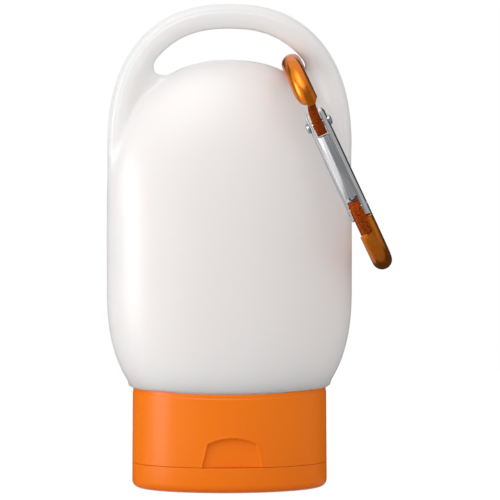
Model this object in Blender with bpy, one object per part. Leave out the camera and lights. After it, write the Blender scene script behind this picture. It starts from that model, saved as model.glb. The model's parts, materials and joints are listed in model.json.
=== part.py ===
"""Pocket sunscreen bottle: a flat oval bottle with a moulded carry loop, a flip-top closure
that it stands on, and a small snap hook hung through the loop.

Metres, +Z up. The origin is the centre of the lid's flat underside, X runs across the
width and the front, with the thumb notch, faces -Y.
"""

import math

import bmesh
import bpy
from mathutils import Matrix, Vector

# Bottle body
BODY_WIDTH = 0.0445
BODY_DEPTH = 0.0222
FOOT_WIDTH = 0.0366
FOOT_DEPTH = 0.0218
FOOT_ROUNDING = 0.0004
FLANK_HEIGHT = 0.0359
THINNING_RISE = 0.0041
SHOULDER_HEIGHT = 0.0522
DOME_TOP = 0.0776
FLANK_FULLNESS = 2.4
FRONT_FULLNESS = 2.2
SIDE_FULLNESS = 2.0
BOTTLE_WALL = 0.0010

# Bottle neck, which points down into the closure
NECK_RADIUS = 0.0079
NECK_WALL = 0.0012
NECK_TUCK = 0.0006
NECK_BEAD = 0.0004
NECK_BEAD_LENGTH = 0.0012
NECK_BEAD_RISE = 0.0034

# Carry loop: a round bar bent over the dome, and the flat web that joins it to the dome
BAR_INSET = 0.00235
BAR_SPRING_HEIGHT = 0.0613
BAR_RISE = 0.0078
BAR_FULLNESS = 2.4
BAR_THICKNESS = 0.0044
BAR_DEPTH = 0.0056
BAR_ROOT = 0.0120
WEB_THICKNESS = 0.0030
HOLE_SINK = 0.0028
HOLE_CORNER = 0.00145

# Lotion
LOTION_GAP = 0.0003
LOTION_HEADSPACE = 0.0096

# Closure
CLOSURE_WIDTH = 0.0354
CLOSURE_DEPTH = 0.0220
CLOSURE_HEIGHT = 0.01835
CLOSURE_DRAFT = 0.0001
CLOSURE_GAP = 0.0003
SKIRT_WALL = 0.0012
SKIRT_LIP = 0.00045
SKIRT_LIP_STEP = 0.00012
SKIRT_ROUNDING = 0.0004
LID_HEIGHT = 0.0045
LID_ROUNDING = 0.00145
LID_FLOOR = 0.0013
SEAM_GAP = 0.00025
DECK_UNDERSIDE = 0.0057
DECK_THICKNESS = 0.0013
SOCKET_CLEARANCE = 0.0005
SOCKET_WALL = 0.0009
SOCKET_LENGTH = 0.0076
SOCKET_BEAD = 0.0003
SOCKET_BEAD_RISE = 0.0053
SPOUT_RADIUS = 0.0026
SPOUT_BORE = 0.0016
SPOUT_DROP = 0.0018
SPOUT_EDGE = 0.0003
PLUG_CLEARANCE = 0.0003
PLUG_ENTRY = 0.0011

# Thumb notch in the front of the closure
NOTCH_FOOT_WIDTH = 0.0108
NOTCH_HEAD_WIDTH = 0.0088
NOTCH_SIDE_HEIGHT = 0.0044
NOTCH_HEIGHT = 0.00535
NOTCH_DEPTH = 0.0009
NOTCH_BACKING = 0.0012

# Film hinge at the back of the closure
HINGE_END_ROOM = 0.0003
HINGE_SIDE_ROOM = 0.0010
FILM_GAP = 0.00010
FILM_THICKNESS = 0.0004
FILM_WIDTH = 0.0022
FILM_LENGTH = 0.0038
FILM_ROOM = 0.0011
SNAP_WIDTH = 0.0038
SNAP_LENGTH = 0.0054
SNAP_THICKNESS = 0.0005

# Snap hook: its place, its bent rod, and its gate
HOOK_SEAT_SHARE = 0.56834
HOOK_DROP = 0.005708
HOOK_TILT = math.radians(25.0)
HOOK_TURN = math.radians(-4.5)
ROD_DIAMETER = 0.0036
HOOK_LENGTH = 0.0386
SPINE_OFFSET = 0.0066
GATE_OFFSET = 0.0140
GATE_TAPER = 0.0014
NOSE_BEND_RADIUS = 0.0066
SPINE_BEND_RADIUS = 0.0042
FOOT_BEND_RADIUS = 0.0062
NOSE_SHOULDER = 0.0080
NOSE_END = 0.0134
BLADE_THICKNESS = 0.00165
BLADE_SHIFT = -0.00022
TONGUE_THICKNESS = 0.00205
TONGUE_SHIFT = -0.00034
TONGUE_SHOULDER_LEFT = 0.0047
TONGUE_SHOULDER_RIGHT = 0.0023
TONGUE_END = 0.0015
GATE_DIAMETER = 0.0039
FOOT_STRAIGHT = 0.0044
HEEL_SHAVE = 0.0001
GATE_TIP_ROOM = 0.0008
CATCH_INSET = 0.0027
SLOT_CLEARANCE = 0.000125
NOSE_END_ROOM = 0.0003
TONGUE_SLOT_FLOOR = 0.0024
GATE_TIP_BEVEL = 0.0005
CATCH_NOTCH_CLEARANCE = 0.00025
PIN_DIAMETER = 0.0015
PIN_CLEARANCE = 0.00008
PIN_CROWN_SHARE = 0.7
CATCH_HEAD_DIAMETER = 0.0019
CATCH_HEAD_HEIGHT = 0.0005
RIVET_HEAD_DIAMETER = 0.0018
RIVET_HEAD_HEIGHT = 0.00012

# Closing spring inside the gate
BORE_DIAMETER = 0.0020
BORE_SHARE = 4 / 7
PLUNGER_DIAMETER = 0.0017
PLUNGER_SHARE = 0.38
PLUNGER_GAP = 0.00015
PLUNGER_TRAVEL = 0.0003
SPRING_DIAMETER = 0.0015
SPRING_WIRE = 0.00026
SPRING_PITCH = 0.00061
SPRING_END_GAP = 0.00012

# Fineness of the meshes
BODY_SIDES = 48
ROD_SIDES = 16
GATE_SIDES = 24
PIN_SIDES = 16
WIRE_SIDES = 6
COIL_STEPS = 10
ARC_STEP = math.radians(12)
OVERRUN = 0.002
SMOOTH_ANGLE = math.radians(35)

# Sizes and places that follow from those above
THINNING_HEIGHT = FLANK_HEIGHT + THINNING_RISE
BAR_SPAN = BODY_WIDTH - 2 * BAR_INSET
BAR_CREST = DOME_TOP + BAR_RISE
HOLE_FLOOR = DOME_TOP - HOLE_SINK
LOTION_LEVEL = DOME_TOP - LOTION_HEADSPACE
FOOT_HEIGHT = CLOSURE_HEIGHT + CLOSURE_GAP
DECK_TOP = DECK_UNDERSIDE + DECK_THICKNESS
NECK_END = DECK_TOP + SOCKET_CLEARANCE
FILM_SPACING = SNAP_WIDTH + FILM_WIDTH + 2 * FILM_ROOM
HINGE_WIDTH = FILM_SPACING + FILM_WIDTH + 2 * HINGE_SIDE_ROOM
HINGE_REACH = SNAP_LENGTH / 2 + HINGE_END_ROOM
HINGE_RECESS = FILM_GAP + SNAP_THICKNESS
HINGE_Y = CLOSURE_DEPTH / 2 - HINGE_RECESS + FILM_GAP + FILM_THICKNESS / 2
HINGE_Z = LID_HEIGHT + SEAM_GAP / 2
GATE_PIVOT = HOOK_LENGTH - FOOT_BEND_RADIUS - FOOT_STRAIGHT
GATE_REACH = GATE_PIVOT - NOSE_SHOULDER - GATE_TIP_ROOM
CATCH_REACH = GATE_REACH - CATCH_INSET
NOSE_SLOT_FLOOR = GATE_PIVOT - NOSE_END - NOSE_END_ROOM
HEEL_RADIUS = GATE_DIAMETER / 2 - HEEL_SHAVE
BORE_DEPTH = (NOSE_SLOT_FLOOR - TONGUE_SLOT_FLOOR) * BORE_SHARE
PLUNGER_LENGTH = BORE_DEPTH * PLUNGER_SHARE
GATE_LEAN = math.atan2(GATE_TAPER, HOOK_LENGTH)


def material(name, colour, roughness, metallic=0.0):
    made = bpy.data.materials.new(name)
    made.use_nodes = True
    shader = made.node_tree.nodes["Principled BSDF"]
    shader.inputs["Base Color"].default_value = (*colour, 1.0)
    shader.inputs["Roughness"].default_value = roughness
    shader.inputs["Metallic"].default_value = metallic
    made.diffuse_color = (*colour, 1.0)
    return made


def finish_mesh(name, bm):
    bmesh.ops.recalc_face_normals(bm, faces=bm.faces)
    mesh = bpy.data.meshes.new(name)
    bm.to_mesh(mesh)
    bm.free()
    mesh.shade_smooth()
    mesh.set_sharp_from_angle(angle=SMOOTH_ANGLE)
    return mesh


def add_piece(name, mesh, finish):
    obj = bpy.data.objects.new(name, mesh)
    bpy.context.scene.collection.objects.link(obj)
    obj.data.materials.append(finish)
    return obj


def add_helper(name, mesh, parent=None):
    """A shape that only cuts or joins: it stays in the file and out of the render."""
    obj = bpy.data.objects.new(name, mesh)
    bpy.context.scene.collection.objects.link(obj)
    obj.hide_render = True
    obj.display_type = "WIRE"
    obj.parent = parent
    return obj


def add_axis(name, location, rotation, parent=None, order="XYZ"):
    empty = bpy.data.objects.new(name, None)
    bpy.context.scene.collection.objects.link(empty)
    empty.location = location
    empty.rotation_mode = order
    empty.rotation_euler = rotation
    empty.parent = parent
    return empty


def combine(obj, helper, operation):
    modifier = obj.modifiers.new(helper.name, "BOOLEAN")
    modifier.operation = operation
    modifier.solver = "EXACT"
    modifier.object = helper


def move_origin(obj, point):
    obj.data.transform(Matrix.Translation(-Vector(point)))
    obj.location = point


def oval(half_x, half_y, z, sides=BODY_SIDES):
    angles = [math.tau * i / sides for i in range(sides)]
    return [Vector((half_x * math.cos(a), half_y * math.sin(a), z)) for a in angles]


def loft(name, rings, closed=False):
    """Rings of equal count joined in order; the ends are capped, or joined when closed."""
    bm = bmesh.new()
    rows = [[bm.verts.new(point) for point in ring] for ring in rings]
    count = len(rows[0])
    pairs = list(zip(rows, rows[1:] + rows[:1])) if closed else list(zip(rows, rows[1:]))
    for low, high in pairs:
        for i in range(count):
            j = (i + 1) % count
            bm.faces.new((low[i], low[j], high[j], high[i]))
    if not closed:
        bm.faces.new(rows[0])
        bm.faces.new(rows[-1])
    return finish_mesh(name, bm)


def box_mesh(name, low, high):
    bm = bmesh.new()
    bmesh.ops.create_cube(bm, size=1.0)
    low, high = Vector(low), Vector(high)
    size = high - low
    bmesh.ops.scale(bm, vec=size, verts=bm.verts)
    bmesh.ops.translate(bm, vec=(low + high) / 2, verts=bm.verts)
    return finish_mesh(name, bm)


def extruded(name, outline, axis_vector):
    """A flat outline pushed along a vector."""
    bm = bmesh.new()
    face = bm.faces.new([bm.verts.new(point) for point in outline])
    pushed = bmesh.ops.extrude_face_region(bm, geom=[face])
    moved = [item for item in pushed["geom"] if isinstance(item, bmesh.types.BMVert)]
    bmesh.ops.translate(bm, vec=axis_vector, verts=moved)
    return finish_mesh(name, bm)


def turned(name, profile, axis="Z", sides=PIN_SIDES):
    """A solid turned about an axis, from (radius, distance along the axis) pairs."""
    rings = []
    for radius, along in profile:
        ring = oval(radius, radius, along, sides)
        if axis == "X":
            ring = [Vector((p.z, p.x, p.y)) for p in ring]
        rings.append(ring)
    return loft(name, rings)


def superellipse(half_x, half_z, fullness, centre_z, steps):
    """The upper half, from right to left, as (x, z) pairs spaced along the curve."""
    points = []
    for i in range(steps + 1):
        angle = math.pi * i / steps
        across, up = math.cos(angle), math.sin(angle)
        reach = (abs(across) ** fullness + up**fullness) ** (-1 / fullness)
        points.append((half_x * reach * across, centre_z + half_z * reach * up))
    return points


def bar_height(x):
    """How high the middle of the loop's bar runs above a place across the width."""
    across = abs(x) / (BAR_SPAN / 2)
    rise = (1 - across**BAR_FULLNESS) ** (1 / BAR_FULLNESS)
    return BAR_SPRING_HEIGHT + (BAR_CREST - BAR_SPRING_HEIGHT) * rise


def tube(name, path, radii, side_vector, sides):
    """A round or oval bar along points that lie in a plane square to side_vector."""
    side = Vector(side_vector).normalized()
    path = [Vector(point) for point in path]
    rings = []
    for i, point in enumerate(path):
        ahead = path[min(i + 1, len(path) - 1)]
        behind = path[max(i - 1, 0)]
        across = (ahead - behind).normalized().cross(side)
        ring = []
        for k in range(sides):
            angle = math.tau * k / sides
            ring.append(
                point + side * radii[0] * math.cos(angle) + across * radii[1] * math.sin(angle)
            )
        rings.append(ring)
    return loft(name, rings)


def rounded_path(corners, radii):
    """Straight runs through the corners (x, y pairs), each inner corner turned on its radius."""
    corners = [Vector(corner) for corner in corners]
    points = [corners[0]]
    for before, corner, after, radius in zip(corners, corners[1:], corners[2:], radii):
        arriving = (corner - before).normalized()
        leaving = (after - corner).normalized()
        turn = arriving.angle(leaving)
        start = corner - arriving * radius * math.tan(turn / 2)
        bend = leaving - arriving * arriving.dot(leaving)
        inward = bend.normalized()
        centre = start + inward * radius
        steps = max(2, round(turn / ARC_STEP))
        for i in range(steps + 1):
            angle = turn * i / steps
            outward = inward * -math.cos(angle) + arriving * math.sin(angle)
            points.append(centre + outward * radius)
    points.append(corners[-1])
    return points


# Bottle

HIGH_SHARES = [math.sin(math.radians(angle)) for angle in range(0, 90, 9)] + [0.999, 0.99995]


def half_size(z, widest, foot, thinning, top, fullness):
    """Half the body's width or depth at a height."""
    if z >= thinning:
        share = min(1.0, (z - thinning) / (top - thinning))
        return widest * (1 - share**fullness) ** (1 / fullness)
    if z >= FLANK_HEIGHT:
        return widest
    foot_top = FOOT_HEIGHT + FOOT_ROUNDING
    power = FLANK_FULLNESS
    reach = (FLANK_HEIGHT - foot_top) / (1 - (foot / widest) ** power) ** (1 / power)
    return widest * (1 - ((FLANK_HEIGHT - z) / reach) ** power) ** (1 / power)


def body_oval(z, inset):
    half_x = half_size(
        z,
        BODY_WIDTH / 2 - inset,
        FOOT_WIDTH / 2 - inset,
        SHOULDER_HEIGHT,
        DOME_TOP - inset,
        FRONT_FULLNESS,
    )
    half_y = half_size(
        z,
        BODY_DEPTH / 2 - inset,
        FOOT_DEPTH / 2 - inset,
        THINNING_HEIGHT,
        DOME_TOP - inset,
        SIDE_FULLNESS,
    )
    return oval(half_x, half_y, z)


def body_rings(inset, top):
    """The body from the top of its rounded foot edge up to a height inside or at its dome."""
    foot_top = FOOT_HEIGHT + FOOT_ROUNDING + inset
    heights = [foot_top + (FLANK_HEIGHT - foot_top) * i / 6 for i in range(6)]
    heights += [FLANK_HEIGHT, THINNING_HEIGHT, (THINNING_HEIGHT + SHOULDER_HEIGHT) / 2]
    dome = DOME_TOP - inset - SHOULDER_HEIGHT
    heights += [SHOULDER_HEIGHT + dome * share for share in HIGH_SHARES]
    rings = [body_oval(z, inset) for z in heights if z < top]
    if top < DOME_TOP - inset:
        rings.append(body_oval(top, inset))
    return rings


def foot_rings(inset):
    """The rounded lower edge of the body, from its flat underside outwards."""
    rings = []
    rounding = FOOT_ROUNDING - inset if inset < FOOT_ROUNDING else 0.0
    for angle in (math.radians(a) for a in (0, 30, 60)):
        pull = FOOT_ROUNDING - rounding + rounding * (1 - math.sin(angle))
        z = FOOT_HEIGHT + FOOT_ROUNDING - rounding * math.cos(angle)
        rings.append(oval(FOOT_WIDTH / 2 - inset - pull, FOOT_DEPTH / 2 - inset - pull, z))
    return rings


def neck_rings(inset, end):
    """The neck from its open end up to the body's underside, with its snap bead."""
    radius = NECK_RADIUS - inset
    bead_low = NECK_END + NECK_BEAD_RISE
    rings = [oval(radius, radius, end)]
    if inset == 0:
        rings.append(oval(radius, radius, bead_low))
        middle = bead_low + NECK_BEAD_LENGTH / 2
        rings.append(oval(radius + NECK_BEAD, radius + NECK_BEAD, middle))
        rings.append(oval(radius, radius, bead_low + NECK_BEAD_LENGTH))
    rings.append(oval(radius, radius, FOOT_HEIGHT - NECK_TUCK + inset))
    rings.append(oval(radius + NECK_TUCK, radius + NECK_TUCK, FOOT_HEIGHT + inset))
    return rings


def make_bottle(plastic):
    outer = neck_rings(0.0, NECK_END) + foot_rings(0.0) + body_rings(0.0, DOME_TOP)
    bottle = add_piece("bottle_shell", loft("bottle_shell", outer), plastic)

    arch = superellipse(
        BAR_SPAN / 2, BAR_CREST - BAR_SPRING_HEIGHT, BAR_FULLNESS, BAR_SPRING_HEIGHT, 36
    )
    legs = [(BAR_SPAN / 2, BAR_SPRING_HEIGHT - BAR_ROOT), *arch]
    legs.append((-BAR_SPAN / 2, BAR_SPRING_HEIGHT - BAR_ROOT))
    path = [(x, 0, z) for x, z in legs]
    radii = (BAR_DEPTH / 2, BAR_THICKNESS / 2)
    bar = add_helper("loop_bar", tube("loop_bar", path, radii, (0, 1, 0), ROD_SIDES))

    web_path = [(x, -WEB_THICKNESS / 2, z) for x, z in legs]
    web = add_helper("loop_web", extruded("loop_web", web_path, (0, WEB_THICKNESS, 0)))
    inner_half = BAR_SPAN / 2 - BAR_THICKNESS / 2
    inner_rise = BAR_CREST - BAR_THICKNESS / 2 - BAR_SPRING_HEIGHT
    rim = superellipse(inner_half, inner_rise, BAR_FULLNESS, BAR_SPRING_HEIGHT, 48)
    ends = [rounded_hole_end(rim, side) for side in (1, -1)]
    kept = [point for point in rim if point[1] > ends[0][0][1]]
    outline = [*reversed(ends[0]), *kept, *ends[1]]
    hole_path = [(x, -WEB_THICKNESS, z) for x, z in outline]
    hole = add_helper("loop_hole", extruded("loop_hole", hole_path, (0, 2 * WEB_THICKNESS, 0)))
    combine(web, hole, "DIFFERENCE")

    inner = neck_rings(NECK_WALL, NECK_END - OVERRUN) + foot_cavity_rings(BOTTLE_WALL)
    inner += body_rings(BOTTLE_WALL, DOME_TOP - BOTTLE_WALL)
    cavity = add_helper("bottle_cavity", loft("bottle_cavity", inner))
    combine(bottle, web, "UNION")
    combine(bottle, bar, "UNION")
    combine(bottle, cavity, "DIFFERENCE")
    return bottle


def foot_cavity_rings(inset):
    pull = FOOT_ROUNDING
    floor = FOOT_HEIGHT + inset
    return [oval(FOOT_WIDTH / 2 - inset - pull, FOOT_DEPTH / 2 - inset - pull, floor)]


def rounded_hole_end(rim, side):
    """The corner where the hole's rim meets its floor, from the rim down to the floor."""
    corner_z = HOLE_FLOOR + HOLE_CORNER
    at_rim = min((p for p in rim if p[0] * side > 0), key=lambda p: abs(p[1] - corner_z))
    centre_x = at_rim[0] - side * HOLE_CORNER
    steps = 6
    points = []
    for i in range(steps + 1):
        angle = math.pi / 2 * i / steps
        points.append(
            (
                centre_x + side * HOLE_CORNER * math.cos(angle),
                corner_z - HOLE_CORNER * math.sin(angle),
            )
        )
    return points


def make_lotion(cream):
    inset = BOTTLE_WALL + LOTION_GAP
    rings = neck_rings(NECK_WALL + LOTION_GAP, NECK_END + LOTION_GAP)
    rings += foot_cavity_rings(inset)
    rings += body_rings(inset, LOTION_LEVEL)
    return add_piece("lotion_fill", loft("lotion_fill", rings), cream)


# Closure


def closure_oval(inset, z):
    """The closure's outline at a height, with its slight draft, drawn in by a wall."""
    draft = CLOSURE_DRAFT * (z - LID_HEIGHT) / (CLOSURE_HEIGHT - LID_HEIGHT)
    return oval(CLOSURE_WIDTH / 2 - draft - inset, CLOSURE_DEPTH / 2 - draft - inset, z)


def round_ring(radius, z):
    return oval(radius, radius, z)


def rim_rings():
    """The rounded top edge of the skirt, above its lip."""
    rings = []
    for angle in (math.radians(a) for a in (0, 30, 60, 90)):
        pull = SKIRT_LIP_STEP + SKIRT_ROUNDING * (1 - math.cos(angle))
        rings.append(closure_oval(pull, CLOSURE_HEIGHT - SKIRT_ROUNDING * (1 - math.sin(angle))))
    return rings


def make_closure_base(plastic):
    floor = LID_HEIGHT + SEAM_GAP
    socket_inner = NECK_RADIUS + NECK_BEAD + SOCKET_CLEARANCE / 2
    socket_outer = socket_inner + SOCKET_WALL
    socket_top = DECK_TOP + SOCKET_LENGTH
    bead_z = NECK_END + SOCKET_BEAD_RISE
    lip_z = CLOSURE_HEIGHT - SKIRT_LIP
    rings = [
        closure_oval(0, floor),
        closure_oval(0, lip_z),
        closure_oval(SKIRT_LIP_STEP, lip_z),
        *rim_rings(),
        closure_oval(SKIRT_WALL, CLOSURE_HEIGHT),
        closure_oval(SKIRT_WALL, DECK_TOP),
        round_ring(socket_outer, DECK_TOP),
        round_ring(socket_outer, socket_top),
        round_ring(socket_inner, socket_top),
        round_ring(socket_inner, bead_z + SOCKET_BEAD),
        round_ring(socket_inner - SOCKET_BEAD, bead_z),
        round_ring(socket_inner, bead_z - SOCKET_BEAD),
        round_ring(socket_inner, DECK_TOP),
        round_ring(SPOUT_BORE, DECK_TOP),
        round_ring(SPOUT_BORE, DECK_UNDERSIDE - SPOUT_DROP),
        round_ring(SPOUT_RADIUS - SPOUT_EDGE, DECK_UNDERSIDE - SPOUT_DROP),
        round_ring(SPOUT_RADIUS, DECK_UNDERSIDE - SPOUT_DROP + SPOUT_EDGE),
        round_ring(SPOUT_RADIUS, DECK_UNDERSIDE),
        closure_oval(SKIRT_WALL, DECK_UNDERSIDE),
        closure_oval(SKIRT_WALL, floor),
    ]
    base = add_piece("closure_base", loft("closure_base", rings, closed=True), plastic)

    front = -CLOSURE_DEPTH / 2
    notch_floor = front + NOTCH_DEPTH
    backing = box_mesh(
        "notch_backing",
        (-NOTCH_FOOT_WIDTH / 2 - NOTCH_BACKING, notch_floor + SKIRT_LIP_STEP, floor),
        (
            NOTCH_FOOT_WIDTH / 2 + NOTCH_BACKING,
            notch_floor + NOTCH_BACKING,
            floor + NOTCH_HEIGHT + NOTCH_BACKING,
        ),
    )
    combine(base, add_helper("notch_backing", backing), "UNION")
    half_foot, half_head = NOTCH_FOOT_WIDTH / 2, NOTCH_HEAD_WIDTH / 2
    outline = [(-half_foot, floor - SEAM_GAP / 2), (half_foot, floor - SEAM_GAP / 2)]
    steps = 8
    for i in range(steps + 1):
        x = half_head * (1 - 2 * i / steps)
        crown = 1 - (x / half_head) ** 2
        z = floor + NOTCH_SIDE_HEIGHT + (NOTCH_HEIGHT - NOTCH_SIDE_HEIGHT) * crown
        outline.append((x, z))
    path = [(x, front - OVERRUN, z) for x, z in outline]
    cutter = extruded("thumb_notch", path, (0, notch_floor - front + OVERRUN, 0))
    combine(base, add_helper("thumb_notch", cutter), "DIFFERENCE")
    combine(base, hinge_recess("base_hinge_recess"), "DIFFERENCE")
    return base


def hinge_recess(name):
    """The flat pocket at the back that the film hinge lies in."""
    back = CLOSURE_DEPTH / 2
    cutter = box_mesh(
        name,
        (-HINGE_WIDTH / 2, back - HINGE_RECESS, HINGE_Z - HINGE_REACH),
        (HINGE_WIDTH / 2, back + OVERRUN, HINGE_Z + HINGE_REACH),
    )
    return add_helper(name, cutter)


def make_closure_lid(plastic):
    rings = []
    steps = 5
    for i in range(steps + 1):
        angle = math.pi / 2 * i / steps
        pull = LID_ROUNDING * (1 - math.sin(angle))
        rings.append(closure_oval(pull, LID_ROUNDING * (1 - math.cos(angle))))
    plug = SPOUT_BORE - PLUG_CLEARANCE
    plug_top = DECK_UNDERSIDE - SPOUT_DROP + PLUG_ENTRY
    rings += [
        closure_oval(0, LID_HEIGHT),
        closure_oval(SKIRT_WALL, LID_HEIGHT),
        closure_oval(SKIRT_WALL, LID_FLOOR),
        round_ring(plug, LID_FLOOR),
        round_ring(plug, plug_top - SPOUT_EDGE),
        round_ring(plug - SPOUT_EDGE, plug_top),
    ]
    lid = add_piece("closure_lid", loft("closure_lid", rings), plastic)
    move_origin(lid, (0, HINGE_Y, HINGE_Z))
    combine(lid, hinge_recess("lid_hinge_recess"), "DIFFERENCE")
    return lid


def make_hinge_films(plastic):
    face = CLOSURE_DEPTH / 2 - HINGE_RECESS + FILM_GAP
    films = (
        ("hinge_strap_left", -FILM_SPACING / 2, FILM_WIDTH, FILM_LENGTH, FILM_THICKNESS),
        ("hinge_strap_right", FILM_SPACING / 2, FILM_WIDTH, FILM_LENGTH, FILM_THICKNESS),
        ("hinge_snap_strap", 0, SNAP_WIDTH, SNAP_LENGTH, SNAP_THICKNESS),
    )
    for name, x, width, length, thickness in films:
        mesh = box_mesh(
            name,
            (x - width / 2, face, HINGE_Z - length / 2),
            (x + width / 2, face + thickness, HINGE_Z + length / 2),
        )
        add_piece(name, mesh, plastic)


# Snap hook


def hook_gate_offset(along):
    """How far in front of the hook's seat its gate line runs, at a distance along the hook."""
    return -GATE_OFFSET + math.tan(GATE_LEAN) * along


def make_hook_frame(hook, gate_axis, anodised):
    """The bent rod, drawn in the hook's own plane: y across it and z up its length."""
    gate_side = [(hook_gate_offset(s), -s) for s in (NOSE_END, 0, HOOK_LENGTH)]
    tongue_at = GATE_PIVOT - TONGUE_END * math.cos(GATE_LEAN)
    corners = [
        gate_side[0],
        gate_side[1],
        (SPINE_OFFSET, 0),
        (SPINE_OFFSET, -HOOK_LENGTH),
        gate_side[2],
        (hook_gate_offset(tongue_at), -tongue_at),
    ]
    bends = (NOSE_BEND_RADIUS, SPINE_BEND_RADIUS, FOOT_BEND_RADIUS, FOOT_BEND_RADIUS)
    path = [(0, y, z) for y, z in rounded_path(corners, bends)]
    radius = ROD_DIAMETER / 2
    frame = add_piece(
        "carabiner_frame",
        tube("carabiner_frame", path, (radius, radius), (1, 0, 0), ROD_SIDES),
        anodised,
    )
    frame.parent = hook

    nose_low, nose_high = GATE_PIVOT - NOSE_END - OVERRUN, GATE_PIVOT - NOSE_SHOULDER
    tongue_high = TONGUE_END + OVERRUN
    tongue_left = TONGUE_SHIFT - TONGUE_THICKNESS / 2
    tongue_right = TONGUE_SHIFT + TONGUE_THICKNESS / 2
    flats = (
        ("nose_flat_left", -1, BLADE_SHIFT - BLADE_THICKNESS / 2, nose_low, nose_high),
        ("nose_flat_right", 1, BLADE_SHIFT + BLADE_THICKNESS / 2, nose_low, nose_high),
        ("tongue_flat_left", -1, tongue_left, -TONGUE_SHOULDER_LEFT, tongue_high),
        ("tongue_flat_right", 1, tongue_right, -TONGUE_SHOULDER_RIGHT, tongue_high),
    )
    for name, side, face, low, high in flats:
        outer = side * ROD_DIAMETER
        cutter = box_mesh(
            name,
            (min(face, outer), -ROD_DIAMETER, low),
            (max(face, outer), ROD_DIAMETER, high),
        )
        combine(frame, add_helper(name, cutter, gate_axis), "DIFFERENCE")

    notch_half = PIN_DIAMETER / 2 + CATCH_NOTCH_CLEARANCE
    steps = 6
    outline = [(ROD_DIAMETER, -notch_half), (ROD_DIAMETER, notch_half)]
    for i in range(steps + 1):
        angle = math.pi / 2 + math.pi * i / steps
        outline.append((notch_half * math.cos(angle), notch_half * math.sin(angle)))
    path = [(-ROD_DIAMETER, y, CATCH_REACH + z) for y, z in outline]
    catch = extruded("catch_notch", path, (2 * ROD_DIAMETER, 0, 0))
    combine(frame, add_helper("catch_notch", catch, gate_axis), "DIFFERENCE")

    hole = PIN_DIAMETER / 2 + PIN_CLEARANCE
    pivot = turned("tongue_hole", ((hole, -ROD_DIAMETER), (hole, ROD_DIAMETER)), "X")
    combine(frame, add_helper("tongue_hole", pivot, gate_axis), "DIFFERENCE")
    return frame


def make_gate(gate_axis, aluminium):
    """The round gate along z, with its pivot at the origin of its axis."""
    radius = GATE_DIAMETER / 2
    profile = (
        (radius, -radius),
        (radius, GATE_REACH - GATE_TIP_BEVEL),
        (radius - GATE_TIP_BEVEL, GATE_REACH),
    )
    gate = add_piece(
        "carabiner_gate", turned("carabiner_gate", profile, sides=GATE_SIDES), aluminium
    )
    gate.parent = gate_axis

    far = radius + OVERRUN
    outline = [(far, 0), (far, -far), (-far, -far), (-far, 0)]
    steps = 10
    for i in range(steps + 1):
        angle = math.pi + math.pi * i / steps
        outline.append((HEEL_RADIUS * math.cos(angle), HEEL_RADIUS * math.sin(angle)))
    path = [(-GATE_DIAMETER, y, z) for y, z in outline]
    heel = extruded("gate_heel_rounding", path, (2 * GATE_DIAMETER, 0, 0))
    combine(gate, add_helper("gate_heel_rounding", heel, gate_axis), "DIFFERENCE")

    slots = (
        ("nose_slot", BLADE_THICKNESS, BLADE_SHIFT, NOSE_SLOT_FLOOR, GATE_REACH + OVERRUN),
        ("tongue_slot", TONGUE_THICKNESS, TONGUE_SHIFT, -GATE_DIAMETER, TONGUE_SLOT_FLOOR),
    )
    for name, thickness, shift, low, high in slots:
        half = thickness / 2 + SLOT_CLEARANCE
        cutter = box_mesh(
            name, (shift - half, -GATE_DIAMETER, low), (shift + half, GATE_DIAMETER, high)
        )
        combine(gate, add_helper(name, cutter, gate_axis), "DIFFERENCE")

    bore = BORE_DIAMETER / 2
    depth = TONGUE_SLOT_FLOOR + BORE_DEPTH
    cutter = turned("spring_bore", ((bore, TONGUE_SLOT_FLOOR - OVERRUN / 2), (bore, depth)))
    combine(gate, add_helper("spring_bore", cutter, gate_axis), "DIFFERENCE")
    hole = PIN_DIAMETER / 2 + PIN_CLEARANCE
    for name, along in (("pivot_hole", 0), ("catch_hole", CATCH_REACH)):
        cutter = turned(name, ((hole, -GATE_DIAMETER), (hole, GATE_DIAMETER)), "X")
        helper = add_helper(name, cutter, gate_axis)
        helper.location = (0, 0, along)
        combine(gate, helper, "DIFFERENCE")
    return gate


def make_pin(name, along, head_diameter, head_height, gate_axis, metal):
    """A pin across the gate with a low head clenched at each end."""
    shank, head = PIN_DIAMETER / 2, head_diameter / 2
    seat = GATE_DIAMETER / 2 + PIN_CLEARANCE
    end = seat + head_height
    profile = (
        (head * PIN_CROWN_SHARE, -end),
        (head, -end + head_height / 2),
        (head, -seat),
        (shank, -seat),
        (shank, seat),
        (head, seat),
        (head, end - head_height / 2),
        (head * PIN_CROWN_SHARE, end),
    )
    pin = add_piece(name, turned(name, profile, "X"), metal)
    pin.parent = gate_axis
    pin.location = (0, 0, along)
    return pin


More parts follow.
